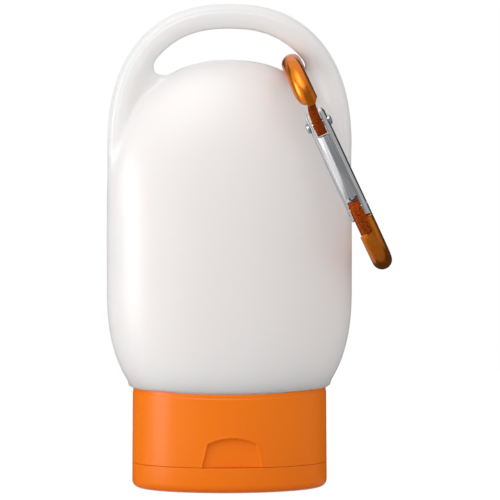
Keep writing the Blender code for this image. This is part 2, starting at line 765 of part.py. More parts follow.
def make_spring_set(gate_axis, steel):
    """The plunger that bears on the tongue, and the coil behind it."""
    radius = PLUNGER_DIAMETER / 2
    tip = TONGUE_END + PLUNGER_GAP
    profile = (
        (radius / 2, tip),
        (radius, tip + radius / 3),
        (radius, tip + PLUNGER_LENGTH),
    )
    plunger = add_piece("gate_plunger", turned("gate_plunger", profile), steel)
    plunger.parent = gate_axis

    low = tip + PLUNGER_LENGTH + PLUNGER_TRAVEL + SPRING_WIRE / 2
    high = TONGUE_SLOT_FLOOR + BORE_DEPTH - SPRING_END_GAP - SPRING_WIRE / 2
    coil = (SPRING_DIAMETER - SPRING_WIRE) / 2
    count = round((high - low) / SPRING_PITCH) * COIL_STEPS
    rise = (high - low) / count
    rings = []
    for i in range(count + 1):
        angle = math.tau * i / COIL_STEPS
        outward = Vector((math.cos(angle), math.sin(angle), 0))
        centre = outward * coil + Vector((0, 0, low + rise * i))
        onward = Vector((-math.sin(angle), math.cos(angle), 0)) * (math.tau * coil / COIL_STEPS)
        tangent = (onward + Vector((0, 0, rise))).normalized()
        upward = tangent.cross(outward)
        ring = []
        for k in range(WIRE_SIDES):
            turn = math.tau * k / WIRE_SIDES
            around = outward * math.cos(turn) + upward * math.sin(turn)
            ring.append(centre + around * SPRING_WIRE / 2)
        rings.append(ring)
    spring = add_piece("gate_spring", loft("gate_spring", rings), steel)
    spring.parent = gate_axis


def make_hook(anodised, aluminium, steel):
    seat_x = HOOK_SEAT_SHARE * BAR_SPAN / 2
    seat = (seat_x, 0, bar_height(seat_x) - HOOK_DROP)
    hook = add_axis("carabiner_swing_axis", seat, (0, -HOOK_TILT, HOOK_TURN), order="ZYX")
    pivot = (0, hook_gate_offset(GATE_PIVOT), -GATE_PIVOT)
    gate_axis = add_axis("gate_hinge_axis", pivot, (GATE_LEAN, 0, 0), hook)
    make_hook_frame(hook, gate_axis, anodised)
    make_gate(gate_axis, aluminium)
    make_pin("gate_pivot_rivet", 0, RIVET_HEAD_DIAMETER, RIVET_HEAD_HEIGHT, gate_axis, steel)
    make_pin(
        "gate_catch_pin", CATCH_REACH, CATCH_HEAD_DIAMETER, CATCH_HEAD_HEIGHT, gate_axis, steel
    )
    make_spring_set(gate_axis, steel)


def main():
    for obj in list(bpy.data.objects):
        bpy.data.objects.remove(obj, do_unlink=True)
    white_plastic = material("white_moulded_polyethylene", (0.86, 0.85, 0.84), 0.32)
    orange_plastic = material("orange_moulded_polypropylene", (0.90, 0.21, 0.01), 0.42)
    cream = material("white_lotion", (0.90, 0.88, 0.82), 0.25)
    anodised = material("orange_anodised_aluminium", (0.85, 0.24, 0.01), 0.25, 1.0)
    aluminium = material("plain_drawn_aluminium", (0.72, 0.73, 0.75), 0.28, 1.0)
    steel = material("bright_steel", (0.60, 0.60, 0.62), 0.25, 1.0)
    make_bottle(white_plastic)
    make_lotion(cream)
    make_closure_base(orange_plastic)
    make_closure_lid(orange_plastic)
    make_hinge_films(orange_plastic)
    make_hook(anodised, aluminium, steel)


main()
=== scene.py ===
"""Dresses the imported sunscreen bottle: a white blow-moulded bottle that stands on its orange
flip-top closure, with a moulded carry loop and a small snap hook.

Laid out as an add-on and run as a script. Lengths are in metres, +Z is up, and the front with
the thumb notch faces -Y.
"""

import json
import math

import bmesh
import bpy
from bpy.props import FloatProperty, FloatVectorProperty, PointerProperty
from mathutils import Matrix, Vector
from mathutils.bvhtree import BVHTree


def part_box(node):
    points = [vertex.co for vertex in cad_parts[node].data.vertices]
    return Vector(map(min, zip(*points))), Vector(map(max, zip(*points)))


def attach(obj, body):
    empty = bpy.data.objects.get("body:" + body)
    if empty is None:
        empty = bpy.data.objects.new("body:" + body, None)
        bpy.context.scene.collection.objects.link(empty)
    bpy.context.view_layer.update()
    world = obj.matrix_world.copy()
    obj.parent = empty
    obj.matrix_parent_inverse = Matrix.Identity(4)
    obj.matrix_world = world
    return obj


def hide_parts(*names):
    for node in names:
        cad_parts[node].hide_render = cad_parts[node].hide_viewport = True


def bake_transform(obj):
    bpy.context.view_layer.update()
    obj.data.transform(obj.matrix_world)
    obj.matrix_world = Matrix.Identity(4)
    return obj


bl_info = {
    "name": "Sunscreen bottle",
    "version": (1, 0, 0),
    "blender": (4, 5, 0),
    "location": "3D View > Sidebar > Bottle",
    "description": "Builds a pocket sunscreen bottle with its flip-top closure and snap hook",
    "category": "Add Mesh",
}

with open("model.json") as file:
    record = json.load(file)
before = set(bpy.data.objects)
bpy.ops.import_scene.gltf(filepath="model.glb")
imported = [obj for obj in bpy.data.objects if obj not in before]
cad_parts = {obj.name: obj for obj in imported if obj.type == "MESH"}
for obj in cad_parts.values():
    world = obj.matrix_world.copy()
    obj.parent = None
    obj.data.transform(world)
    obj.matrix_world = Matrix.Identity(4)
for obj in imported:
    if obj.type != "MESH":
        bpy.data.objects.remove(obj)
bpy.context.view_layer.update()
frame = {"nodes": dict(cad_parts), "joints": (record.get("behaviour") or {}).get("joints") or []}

MM = 0.001
AXIS_Y = Vector((0, 1, 0))
AXIS_Z = Vector((0, 0, 1))

BODY_LOW, BODY_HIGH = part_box("bottle_shell")
_, BASE_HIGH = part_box("closure_base")

# Bottle body
BODY_WIDTH = BODY_HIGH.x - BODY_LOW.x
BODY_DEPTH = BODY_HIGH.y - BODY_LOW.y
FOOT_WIDTH = 36.6 * MM
FOOT_DEPTH = 21.8 * MM
FOOT_ROUNDING = 0.4 * MM
FOOT_EDGE = 0.1 * MM
FOOT_GAP = 0.01 * MM
FLANK_HEIGHT = 35.9 * MM
THINNING_HEIGHT = 40.0 * MM
SHOULDER_HEIGHT = 52.2 * MM
DOME_TOP = 77.6 * MM
FLANK_POWER = 2.4
FRONT_POWER = 2.2
SIDE_POWER = 2.0
NECK_RADIUS = 7.9 * MM
NECK_END = 7.5 * MM
BODY_SIDES = 192
FLANK_RINGS = 26
SHOULDER_RINGS = 10

# Carry loop
BAR_SPAN = 39.8 * MM
BAR_SPRING_HEIGHT = 61.3 * MM
BAR_CREST = BODY_HIGH.z - 2.2 * MM
BAR_POWER = 2.4
BAR_ROOT = 12.0 * MM
BAR_HALF_THICKNESS = 2.2 * MM
BAR_DEPTH = 5.6 * MM
ROOT_STEPS = 12
WEB_THICKNESS = 3.8 * MM
HOLE_FLOOR = 74.8 * MM
HOLE_CORNER = 1.45 * MM
SKIN_VOXEL = 0.39 * MM
SKIN_SMOOTHINGS = 12
FILLET_NEAR, FILLET_FAR = 0.45 * MM, 1.3 * MM

# Closure
CLOSURE_WIDTH = 35.4 * MM
CLOSURE_DEPTH = 22.0 * MM
CLOSURE_HEIGHT = BASE_HIGH.z
CLOSURE_DRAFT = 0.1 * MM
LID_HEIGHT = 4.5 * MM
SEAM_HEIGHT = 4.625 * MM
SEAM_EDGE = 0.07 * MM
BASE_FOOT = SEAM_HEIGHT + 0.04 * MM
LID_TOP = SEAM_HEIGHT - 0.02 * MM
NOTCH_DEPTH = 0.9 * MM
NOTCH_BEAD = 0.06 * MM
POCKET_DEPTH = 0.6 * MM
RIM_DIP = 0.6 * MM
RIM_DIP_START = 11.2 * MM
FINE_STEP = 0.11 * MM

# Snap hook, in its own frame: y across the ring and z up its length
HOOK_LENGTH = 38.6 * MM
SPINE_OFFSET = 6.6 * MM
GATE_OFFSET = 14.0 * MM
GATE_TAPER = 1.4 * MM
GATE_LEAN = math.atan2(GATE_TAPER, HOOK_LENGTH)
NOSE_END = 13.4 * MM
GATE_PIVOT = 28.0 * MM
TONGUE_END = 1.5 * MM
MERGE_REACH = 0.001 * MM

# In the gate's frame, in millimetres: x through the slots and z up the gate from its rivet
CATCH_AT = 16.5
NOSE_MIDDLE = -0.13
TONGUE_MIDDLE = -0.34
PIN_HOLE_RADIUS = 0.83


def axis_of(name):
    """A joint's axis and, for a hinge, the point that it turns about."""
    joint = next(j for j in frame["joints"] if j["name"] == name)
    return Vector(joint["axis"]).normalized(), Vector(joint.get("pos_m", (0, 0, 0)))


def frame_from(origin, across, up):
    """A placing matrix with the given origin, x and (nearly) z directions."""
    side = up.cross(across).normalized()
    top = across.cross(side).normalized()
    turn = Matrix((across, side, top)).transposed().to_4x4()
    return Matrix.Translation(origin) @ turn


GATE_AXIS, GATE_AT = axis_of("gate_hinge")
SWING_AXIS, SWING_AT = axis_of("carabiner_swing")
SLIDE_AXIS, _ = axis_of("plunger_slide")
HOOK_FRAME = frame_from(SWING_AT, -GATE_AXIS, (-GATE_AXIS).cross(-SWING_AXIS))
GATE_FRAME = frame_from(GATE_AT, -GATE_AXIS, SLIDE_AXIS)


# Materials


def linear(code):
    """An sRGB hex colour as linear RGBA."""
    shares = [int(code[i : i + 2], 16) / 255 for i in (0, 2, 4)]
    bent = [c / 12.92 if c <= 0.04045 else ((c + 0.055) / 1.055) ** 2.4 for c in shares]
    return (*bent, 1.0)


def add_node(tree, kind, inputs=None, **settings):
    """Adds a node; an input that is a socket is linked, and any other is set."""
    node = tree.nodes.new(kind)
    for name, value in settings.items():
        setattr(node, name, value)
    for name, value in (inputs or {}).items():
        if isinstance(value, bpy.types.NodeSocket):
            tree.links.new(value, node.inputs[name])
        else:
            node.inputs[name].default_value = value
    return node


def empty_tree(owner):
    """The cleared node tree of a material or a world."""
    owner.use_nodes = True
    owner.node_tree.nodes.clear()
    return owner.node_tree


def toned(colour, red, green, blue):
    """The colour with each of its channels scaled."""
    return (colour[0] * red, colour[1] * green, colour[2] * blue, 1.0)


def patterned(
    name, shader, tones, grain, relief, roughness=None, cloud=None, contrast=None, own=None
):
    """A material with one Principled shader that follows one or two noise patterns.

    The grain, given as its size in metres, detail and roughness, is the finish of the surface:
    its relief has a strength and a depth in metres, and the shader's roughness runs from a low to
    a high value over it. The tones follow the cloud, or the grain if there is none, with a
    contrast. The grain can lie in a piece's own frame, stretched along it."""
    material = bpy.data.materials.new(name)
    tree = empty_tree(material)
    place = near = add_node(tree, "ShaderNodeTexCoord").outputs["Object"]
    if own:
        back = own[0].inverted()
        inputs = {"Location": back.to_translation(), "Rotation": back.to_euler("XYZ")}
        turned = add_node(tree, "ShaderNodeMapping", {"Vector": place, **inputs})
        inputs = {"Vector": turned.outputs["Vector"], "Scale": (1.0, 1.0, own[1])}
        near = add_node(tree, "ShaderNodeMapping", inputs).outputs["Vector"]
    fields = []
    for vector, pattern in ((near, grain), (place, cloud)):
        if pattern:
            size, detail, rough = pattern
            inputs = {"Vector": vector, "Scale": 1 / size, "Detail": detail, "Roughness": rough}
            fields.append(add_node(tree, "ShaderNodeTexNoise", inputs).outputs["Fac"])
    fine, tint = fields[0], fields[-1]
    if contrast:
        inputs = {"Value": tint, "To Min": contrast[0], "To Max": contrast[1]}
        tint = add_node(tree, "ShaderNodeMapRange", inputs).outputs["Result"]
    # 6, 7 and 2 are the colour sockets of the Mix node.
    inputs = {"Factor": tint, 6: tones[0], 7: tones[1]}
    tone = add_node(tree, "ShaderNodeMix", inputs, data_type="RGBA").outputs[2]
    inputs = {"Height": fine, "Strength": relief[0], "Distance": relief[1]}
    normal = add_node(tree, "ShaderNodeBump", inputs).outputs["Normal"]
    shader = {**shader, "Base Color": tone, "Normal": normal}
    if roughness:
        inputs = {"Value": fine, "To Min": roughness[0], "To Max": roughness[1]}
        shader["Roughness"] = add_node(tree, "ShaderNodeMapRange", inputs).outputs["Result"]
    made = add_node(tree, "ShaderNodeBsdfPrincipled", shader)
    add_node(tree, "ShaderNodeOutputMaterial", {"Surface": made.outputs["BSDF"]})
    return material


def white_polyethylene(colour):
    """Blow-moulded white high-density polyethylene: milky and softly glossy, with the faint
    orange-peel of a sand-blasted mould."""
    shader = {
        "IOR": 1.54,
        "Subsurface Weight": 0.9,
        "Subsurface Scale": 12 * MM,
        "Subsurface Radius": (1.0, 0.85, 0.8),
    }
    return patterned(
        "white_blow_moulded_polyethylene",
        shader,
        tones=(colour, toned(colour, 0.97, 0.97, 0.97)),
        grain=(0.9 * MM, 3.0, 0.5),
        roughness=(0.27, 0.33),
        relief=(0.12, 0.02 * MM),
        cloud=(14 * MM, 2.0, 0.5),
    )


def orange_polypropylene(colour):
    """Injection-moulded orange polypropylene: a fine spark-eroded satin that spreads its
    highlights wide and keeps its colour full.

    Real spark erosion pits are about 0.05 mm; they are drawn at 0.22 mm so that they show."""
    shader = {
        "IOR": 1.49,
        "Specular IOR Level": 0.28,
        "Subsurface Weight": 0.15,
        "Subsurface Scale": 0.8 * MM,
        "Subsurface Radius": (1.0, 0.45, 0.1),
    }
    return patterned(
        "orange_satin_polypropylene",
        shader,
        tones=(colour, toned(colour, 0.96, 0.9, 0.9)),
        grain=(0.22 * MM, 3.0, 0.6),
        roughness=(0.25, 0.31),
        relief=(0.2, 0.02 * MM),
        cloud=(9 * MM, 2.0, 0.5),
    )


def lotion_cream(colour):
    """Thick sun lotion: an off-white cream with soft swirls from filling."""
    return patterned(
        "off_white_lotion",
        {"IOR": 1.42, "Roughness": 0.45, "Subsurface Weight": 0.3, "Subsurface Scale": 1.0 * MM},
        tones=(colour, toned(colour, 0.94, 0.94, 0.94)),
        grain=(5 * MM, 4.0, 0.5),
        relief=(0.2, 0.1 * MM),
    )


def anodised_aluminium(colour):
    """Bright-dipped aluminium rod, dyed orange by anodising: a clear deep colour over metal,
    with the faint drawing lines of the rod."""
    return patterned(
        "orange_anodised_aluminium",
        {"Metallic": 0.85, "Coat Weight": 0.1, "Coat Roughness": 0.15, "Coat IOR": 1.6},
        tones=(colour, toned(colour, 0.62, 0.46, 0.35)),
        grain=(0.3 * MM, 3.0, 0.6),
        roughness=(0.18, 0.3),
        relief=(0.12, 0.01 * MM),
        cloud=(2.4 * MM, 2.0, 0.5),
        own=(HOOK_FRAME, 0.12),
    )


def milled_anodised_aluminium(colour):
    """The same rod where it is milled flat, drawn in a much darker brown.

    Cutter marks are about 0.05 mm apart; they are drawn at 0.3 mm so that they show."""
    dark = toned(colour, 0.55, 0.3, 0.2)
    return patterned(
        "orange_anodised_milled_face",
        {"Metallic": 0.9},
        tones=(dark, toned(dark, 0.3, 0.3, 0.3)),
        grain=(0.3 * MM, 2.0, 0.7),
        roughness=(0.4, 0.6),
        relief=(0.5, 0.03 * MM),
        contrast=(-1.0, 2.0),
    )


def drawn_aluminium(colour):
    """Plain drawn aluminium bar: bright, with fine lengthwise die lines and a few dull streaks.

    Real die lines are about 0.03 mm apart; they are drawn at 0.22 mm so that they show."""
    return patterned(
        "plain_drawn_aluminium",
        {"Metallic": 1.0},
        tones=(toned(colour, 0.6, 0.6, 0.6), colour),
        grain=(0.22 * MM, 2.0, 0.5),
        roughness=(0.28, 0.18),
        relief=(0.35, 0.01 * MM),
        contrast=(-0.6, 1.9),
        own=(GATE_FRAME, 0.03),
    )


def bright_steel(colour):
    """Nickel-bright steel of the rivet, pin, spring and plunger, with fine turning marks."""
    return patterned(
        "bright_steel",
        {"Metallic": 1.0},
        tones=(colour, toned(colour, 0.8, 0.8, 0.8)),
        grain=(0.2 * MM, 3.0, 0.5),
        roughness=(0.2, 0.32),
        relief=(0.15, 0.01 * MM),
    )


# Shapes


def oval_point(half_x, half_y, angle, z):
    """A point at an angle of an oval that is level at z."""
    return Vector((half_x * math.cos(angle), half_y * math.sin(angle), z))


def pull_edges(bm, edges, place):
    """Extrudes a closed line of edges and puts each new vertex where place says."""
    old = {v for e in edges for v in e.verts}
    made = bmesh.ops.extrude_edge_only(bm, edges=edges)["geom"]
    station = bm.verts.layers.int["station"]
    for vert in (g for g in made if isinstance(g, bmesh.types.BMVert)):
        vert.co = place(vert[station])
    return [g for g in made if isinstance(g, bmesh.types.BMEdge) and old.isdisjoint(g.verts)]


def lofted(count, places, closed=False):
    """A skin through rings of equal count, each pulled out of the one before it.

    Each place turns a station's number on its ring into a point. A closed skin joins its last
    ring to its first one, and any other has both ends filled."""
    bm = bmesh.new()
    bmesh.ops.create_circle(bm, segments=count, radius=1.0)
    station = bm.verts.layers.int.new("station")
    order = sorted(bm.verts, key=lambda v: math.atan2(v.co.y, v.co.x) % math.tau)
    for i, vert in enumerate(order):
        vert[station] = i
        vert.co = places[0](i)
    first = edges = list(bm.edges)
    for place in places[1:]:
        edges = pull_edges(bm, edges, place)
    if closed:
        bmesh.ops.bridge_loops(bm, edges=first + edges)
    else:
        bmesh.ops.holes_fill(bm, edges=first)
        bmesh.ops.holes_fill(bm, edges=edges)
    bmesh.ops.recalc_face_normals(bm, faces=bm.faces)
    return bm


def mesh_from(bm, name):
    """Turns a bmesh into a mesh and frees it."""
    mesh = bpy.data.meshes.new(name)
    bm.to_mesh(mesh)
    bm.free()
    return mesh


def linked(name, data):
    """A new object in the scene."""
    made = bpy.data.objects.new(name, data)
    bpy.context.scene.collection.objects.link(made)
    return made


def show(mesh, name, material, body, replaced, angle=35.0):
    """Links a finished mesh as a piece that rides on a body."""
    mesh.materials.clear()
    mesh.materials.append(material)
    mesh.shade_smooth()
    mesh.set_sharp_from_angle(angle=math.radians(angle))
    piece = linked(name, mesh)
    if body:
        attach(piece, body)
    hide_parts(*replaced)
    return piece


def evaluated(mesh, *steps):
    """The mesh after modifiers, given as (kind, settings) pairs."""
    holder = linked("working_shape", mesh)
    for kind, settings in steps:
        modifier = holder.modifiers.new(kind.lower(), kind)
        for key, value in settings.items():
            setattr(modifier, key, value)
    depsgraph = bpy.context.evaluated_depsgraph_get()
    result = bpy.data.meshes.new_from_object(holder.evaluated_get(depsgraph))
    bpy.data.objects.remove(holder)
    return result


def cut_by(mesh, cutters, operation="DIFFERENCE"):
    """The mesh after each cutter is taken from it, or joined to or kept within it."""
    knives = [linked("knife", cutter) for cutter in cutters]
    settings = {"operation": operation, "solver": "EXACT"}
    result = evaluated(mesh, *(("BOOLEAN", {"object": knife, **settings}) for knife in knives))
    for knife in knives:
        bpy.data.objects.remove(knife)
    return result


def rounded(bm, geom, width, segments=2, affect="EDGES", clamp=False):
    """Breaks edges or corners with a round."""
    bmesh.ops.bevel(
        bm,
        geom=geom,
        offset=width,
        offset_type="OFFSET",
        affect=affect,
        segments=segments,
        profile=0.5,
        material=-1,
        clamp_overlap=clamp,
    )


def pushed_out(bm, faces, step):
    """Extrudes faces as one region and returns what is new."""
    pushed = bmesh.ops.extrude_face_region(bm, geom=faces)["geom"]
    moved = [g for g in pushed if isinstance(g, bmesh.types.BMVert)]
    bmesh.ops.translate(bm, vec=step, verts=moved)
    return pushed


def flat_plate(outline, half_thickness, matrix=Matrix()):
    """A plate in the XZ plane from its outline, then placed by the matrix."""
    bm = bmesh.new()
    face = bm.faces.new([bm.verts.new((x, -half_thickness, z)) for x, z in outline])
    pushed_out(bm, [face], AXIS_Y * 2 * half_thickness)
    bmesh.ops.recalc_face_normals(bm, faces=bm.faces)
    bm.transform(matrix)
    return mesh_from(bm, "plate")


def cuboid(low, high):
    """A box between two corners."""
    bm = bmesh.new()
    bmesh.ops.create_cube(bm, size=1.0)
    bmesh.ops.scale(bm, vec=high - low, verts=bm.verts)
    bmesh.ops.translate(bm, vec=(low + high) / 2, verts=bm.verts)
    return bm


def smooth_step(value, low, high):
    """0 below low, 1 above high, and an S curve between them."""
    share = min(1.0, max(0.0, (value - low) / (high - low)))
    return share * share * (3 - 2 * share)


def spaced(low, high, steps):
    """Evenly spaced values from low to high, both included."""
    return [low + (high - low) * i / steps for i in range(steps + 1)]


def quarter(step):
    """A quarter round's (rise, pull) shares, from flat to upright, every so many degrees."""
    turns = [math.radians(turn) for turn in range(0, 91, step)]
    return [(1 - math.cos(turn), 1 - math.sin(turn)) for turn in turns]


# Bottle


def half_size(z, widest, foot, thinning, power):
    """Half the body's width or depth at a height."""
    if z >= thinning:
        share = min(1.0, (z - thinning) / (DOME_TOP - thinning))
        return widest * (1 - share**power) ** (1 / power)
    if z >= FLANK_HEIGHT:
        return widest
    foot_top = CLOSURE_HEIGHT + 0.3 * MM + FOOT_ROUNDING
    depth = (1 - (foot / widest) ** FLANK_POWER) ** (1 / FLANK_POWER)
    drop = min((FLANK_HEIGHT - z) * depth / (FLANK_HEIGHT - foot_top), 0.999)
    return widest * (1 - drop**FLANK_POWER) ** (1 / FLANK_POWER)


def oval_ring(half_x, half_y, z):
    """One ring of the body, as a function from a station's number to its point."""
    return lambda i: oval_point(half_x, half_y, math.tau * i / BODY_SIDES, z)


def body_ring(z):
    """The body's ring at a height."""
    return oval_ring(
        half_size(z, BODY_WIDTH / 2, FOOT_WIDTH / 2, SHOULDER_HEIGHT, FRONT_POWER),
        half_size(z, BODY_DEPTH / 2, FOOT_DEPTH / 2, THINNING_HEIGHT, SIDE_POWER),
        z,
    )


def dipped(place):
    """A ring of the body's foot, lower at the front and back than at the sides."""

    def lowered(i):
        point = place(i)
        near = 1 - smooth_step(point.z, CLOSURE_HEIGHT, CLOSURE_HEIGHT + 6 * MM)
        point.z -= RIM_DIP * near * math.sin(math.tau * i / BODY_SIDES) ** 2
        return point

    return lowered


def body_mesh():
    """The oval body from its neck to its dome."""
    low = CLOSURE_HEIGHT + FOOT_GAP
    places = [
        oval_ring(NECK_RADIUS, NECK_RADIUS, low),
        oval_ring(FOOT_WIDTH / 2 - 3 * MM, FOOT_DEPTH / 2 - 3 * MM, low),
    ]
    for rise, share in quarter(15):
        pull = FOOT_EDGE * share
        z = low + FOOT_EDGE * rise
        places.append(oval_ring(FOOT_WIDTH / 2 - pull, FOOT_DEPTH / 2 - pull, z))
    start = low + FOOT_EDGE + 0.3 * MM
    heights = spaced(start, FLANK_HEIGHT, FLANK_RINGS)[1:]
    heights += spaced(FLANK_HEIGHT, SHOULDER_HEIGHT, SHOULDER_RINGS)[1:]
    dome = DOME_TOP - SHOULDER_HEIGHT
    turns = [math.radians(a) for a in (*range(2, 88, 2), 88.5, 89.3, 89.8)]
    heights += [SHOULDER_HEIGHT + dome * math.sin(a) for a in turns]
    places += map(body_ring, heights)
    neck = oval_ring(NECK_RADIUS, NECK_RADIUS, NECK_END)
    return lofted(BODY_SIDES, [neck, *map(dipped, places)])


def bar_path(steps=96):
    """The middle of the loop's bar, up one leg, over and down the other: (x, z) pairs."""
    root = spaced(BAR_SPRING_HEIGHT - BAR_ROOT, BAR_SPRING_HEIGHT, ROOT_STEPS)[:-1]
    leg = [(BAR_SPAN / 2, z) for z in root]
    arch = super_arch(BAR_SPAN / 2, BAR_CREST - BAR_SPRING_HEIGHT, steps)
    return [*leg, *arch, *[(-x, z) for x, z in reversed(leg)]]


def super_arch(half_x, rise, steps):
    """The loop's arch as (x, z) pairs: a curve between an oval and a rectangle."""
    points = []
    for i in range(steps + 1):
        across, up = math.cos(math.pi * i / steps), math.sin(math.pi * i / steps)
        reach = (abs(across) ** BAR_POWER + up**BAR_POWER) ** (-1 / BAR_POWER)
        points.append((half_x * reach * across, BAR_SPRING_HEIGHT + rise * reach * up))
    return points


def bar_section(sizes):
    """The bar's section as (outward, deep) pairs: a flat face, a fine step and a chamfer that
    draw two lines of light along the loop's outer side, and a round inner side."""
    half_u, half_v = sizes.bar_thickness / 2, sizes.bar_depth / 2
    outer = [(1.0, 0.0), (1.0, 0.5), (0.67, 0.925), (0.34, 0.955), (0.24, 1.0)]
    shares = [*outer, (-0.45, 1.0), (-0.84, 0.8), (-1.0, 0.42), (-1.0, 0.0)]
    shares += [(u, -v) for u, v in reversed(shares[1:-1])]
    bm = bmesh.new()
    bm.faces.new([bm.verts.new((u * half_u, v * half_v, 0)) for u, v in shares])
    rounded(bm, list(bm.verts), 0.09 * MM, affect="VERTICES")
    bm.faces.ensure_lookup_table()
    outline = [(v.co.x, v.co.y) for v in bm.faces[0].verts]
    bm.free()
    return outline


def bar_mesh(sizes):
    """The loop's bar, its section carried along its path."""
    path = [Vector((x, 0, z)) for x, z in bar_path()]
    outline = bar_section(sizes)
    places = []
    for i, point in enumerate(path):
        along = (path[min(i + 1, len(path) - 1)] - path[max(i - 1, 0)]).normalized()
        outward = -along.cross(AXIS_Y)
        if outward.dot(point - Vector((0, 0, BAR_SPRING_HEIGHT))) < 0:
            outward = -outward

        def place(k, point=point, outward=outward):
            u, v = outline[k]
            return point + outward * u + AXIS_Y * v

        places.append(place)
    return lofted(len(outline), places)


def web_mesh(sizes):
    """The thin plate under the loop, with the loop's hole cut out of it and its edges rounded."""
    legs = [(x * 0.99, z) for x, z in bar_path(64)]
    inner_rise = BAR_CREST - BAR_HALF_THICKNESS - BAR_SPRING_HEIGHT
    inner = super_arch(BAR_SPAN / 2 - BAR_HALF_THICKNESS, inner_rise, 72)
    corner_z = HOLE_FLOOR + HOLE_CORNER
    rim = [p for p in inner if p[1] > corner_z]
    centre_x = max(p[0] for p in rim) - HOLE_CORNER
    right = []
    for turn in range(0, 91, 15):
        across, down = math.cos(math.radians(turn)), math.sin(math.radians(turn))
        right.append((centre_x + HOLE_CORNER * across, corner_z - HOLE_CORNER * down))
    hole = [*reversed(right), *rim, *[(-x, z) for x, z in right]]
    half = sizes.web_thickness / 2
    bm = bmesh.new()
    bm.from_mesh(cut_by(flat_plate(legs, half), [flat_plate(hole, 3 * half)]))
    bmesh.ops.remove_doubles(bm, verts=bm.verts, dist=MERGE_REACH)
    rims = [
        e
        for e in bm.edges
        if len(e.link_faces) == 2
        and e.calc_face_angle(0) > math.radians(60)
        and e.verts[0].co.z > HOLE_FLOOR - 0.5 * MM
        and abs(e.verts[0].co.y - e.verts[1].co.y) < 0.01 * MM
    ]
    rounded(bm, rims, 1.0 * MM, segments=4, clamp=True)
    return bm


def outside_bar(point):
    """Whether a point lies on the outer side of the middle of the loop's bar."""
    rise = max(0.0, point.z - BAR_SPRING_HEIGHT) / (BAR_CREST - BAR_SPRING_HEIGHT)
    across = abs(point.x) / (BAR_SPAN / 2)
    return point.z > BAR_SPRING_HEIGHT - BAR_ROOT and across**BAR_POWER + rise**BAR_POWER > 1.0


def bottle_skin(sizes):
    """Body, loop and web as one moulding, with soft fillets where they meet."""
    parts = [body_mesh(), bar_mesh(sizes), web_mesh(sizes)]
    trees = [BVHTree.FromBMesh(part) for part in parts]
    whole = bmesh.new()
    for part in parts:
        whole.from_mesh(mesh_from(part, "part_of_skin"))
    bmesh.ops.triangulate(whole, faces=whole.faces)
    remesh = ("REMESH", {"mode": "VOXEL", "voxel_size": sizes.skin_voxel})
    bm = bmesh.new()
    bm.from_mesh(evaluated(mesh_from(whole, "rough_skin"), remesh))
    for _ in range(SKIN_SMOOTHINGS):
        bmesh.ops.smooth_vert(
            bm, verts=bm.verts, factor=0.5, use_axis_x=True, use_axis_y=True, use_axis_z=True
        )
    rim = [e for e in bm.edges if outside_bar(e.verts[0].co) and outside_bar(e.verts[1].co)]
    bmesh.ops.subdivide_edges(bm, edges=rim, cuts=1, use_grid_fill=True)
    for vert in bm.verts:
        found = sorted((tree.find_nearest(vert.co) for tree in trees), key=lambda hit: hit[3])
        weight = smooth_step(found[1][3], FILLET_NEAR, FILLET_FAR)
        if weight > 0:
            vert.co = vert.co.lerp(found[0][0], weight)
    bmesh.ops.recalc_face_normals(bm, faces=bm.faces)
    return mesh_from(bm, "bottle_skin")


# Closure


def wall_angles():
    """Angles round the closure, close together at the thumb notch and at the hinge."""
    reach, side_steps = 6.9 * MM, 44
    across = spaced(-reach, reach, round(2 * reach / FINE_STEP))
    front = [math.tau - math.acos(x / (CLOSURE_WIDTH / 2)) for x in across]
    back = [math.tau - a for a in reversed(front)]
    right = spaced(front[-1] - math.tau, back[0], side_steps)[1:-1]
    left = [math.pi - a for a in reversed(right)]
    return sorted(a % math.tau for a in right + back + left + front)


WALL_ANGLES = wall_angles()


def notch_reach(x, z):
    """How far a place on the front wall lies inside the thumb notch's outline."""
    foot, head, side_top, crown_top = 5.4 * MM, 4.4 * MM, 8.9 * MM, 10.0 * MM
    foot_z = 4.7 * MM
    lean = (foot - head) / (side_top - foot_z)
    half = foot - lean * (z - foot_z)
    side = (half - abs(x)) * math.cos(math.atan(lean))
    across = min(1.0, abs(x) / head)
    top = side_top + (crown_top - side_top) * (1 - across**2) - z
    return min(side, top)


def hinge_share(x, z):
    """How deep the pocket of the film hinge is at a place on the back wall, from 0 to 1."""
    inside = min(6.2 * MM - abs(x), 3.0 * MM - abs(z - SEAM_HEIGHT))
    return smooth_step(inside, -0.03 * MM, 0.1 * MM)


def wall_ring(inset, z, shaped=True):
    """The closure's outline at a height, with its draft, its notch and its hinge pocket."""
    draft = CLOSURE_DRAFT * (z - LID_HEIGHT) / (CLOSURE_HEIGHT - LID_HEIGHT)
    half_x = CLOSURE_WIDTH / 2 - draft - inset
    half_y = CLOSURE_DEPTH / 2 - draft - inset
    dip = RIM_DIP * smooth_step(z, RIM_DIP_START, CLOSURE_HEIGHT)
    notch_floor = -CLOSURE_DEPTH / 2 + NOTCH_DEPTH
    pocket_floor = CLOSURE_DEPTH / 2 - POCKET_DEPTH

    def place(i):
        point = oval_point(half_x, half_y, WALL_ANGLES[i], z)
        point.z -= dip * math.sin(WALL_ANGLES[i]) ** 2
        if not shaped:
            return point
        if point.y < notch_floor and z > LID_HEIGHT + 0.1 * MM:
            inside = notch_reach(point.x, z)
            point.y += (notch_floor - point.y) * smooth_step(inside, -0.03 * MM, 0.26 * MM)
            bead = 1 - min(1.0, abs(inside / MM + 0.16) / 0.2)
            point.y -= NOTCH_BEAD * bead * (2 - bead)
        if point.y > pocket_floor:
            point.y += (pocket_floor - point.y) * hinge_share(point.x, z)
        return point

    return place


def disc_ring(radius, z):
    """A round ring with the stations of the closure's outline."""
    return lambda i: oval_point(radius, radius, WALL_ANGLES[i], z)


def stepped(low, high, step):
    """Heights from low to high, about a step apart."""
    return spaced(low, high, max(1, round((high - low) / step)))


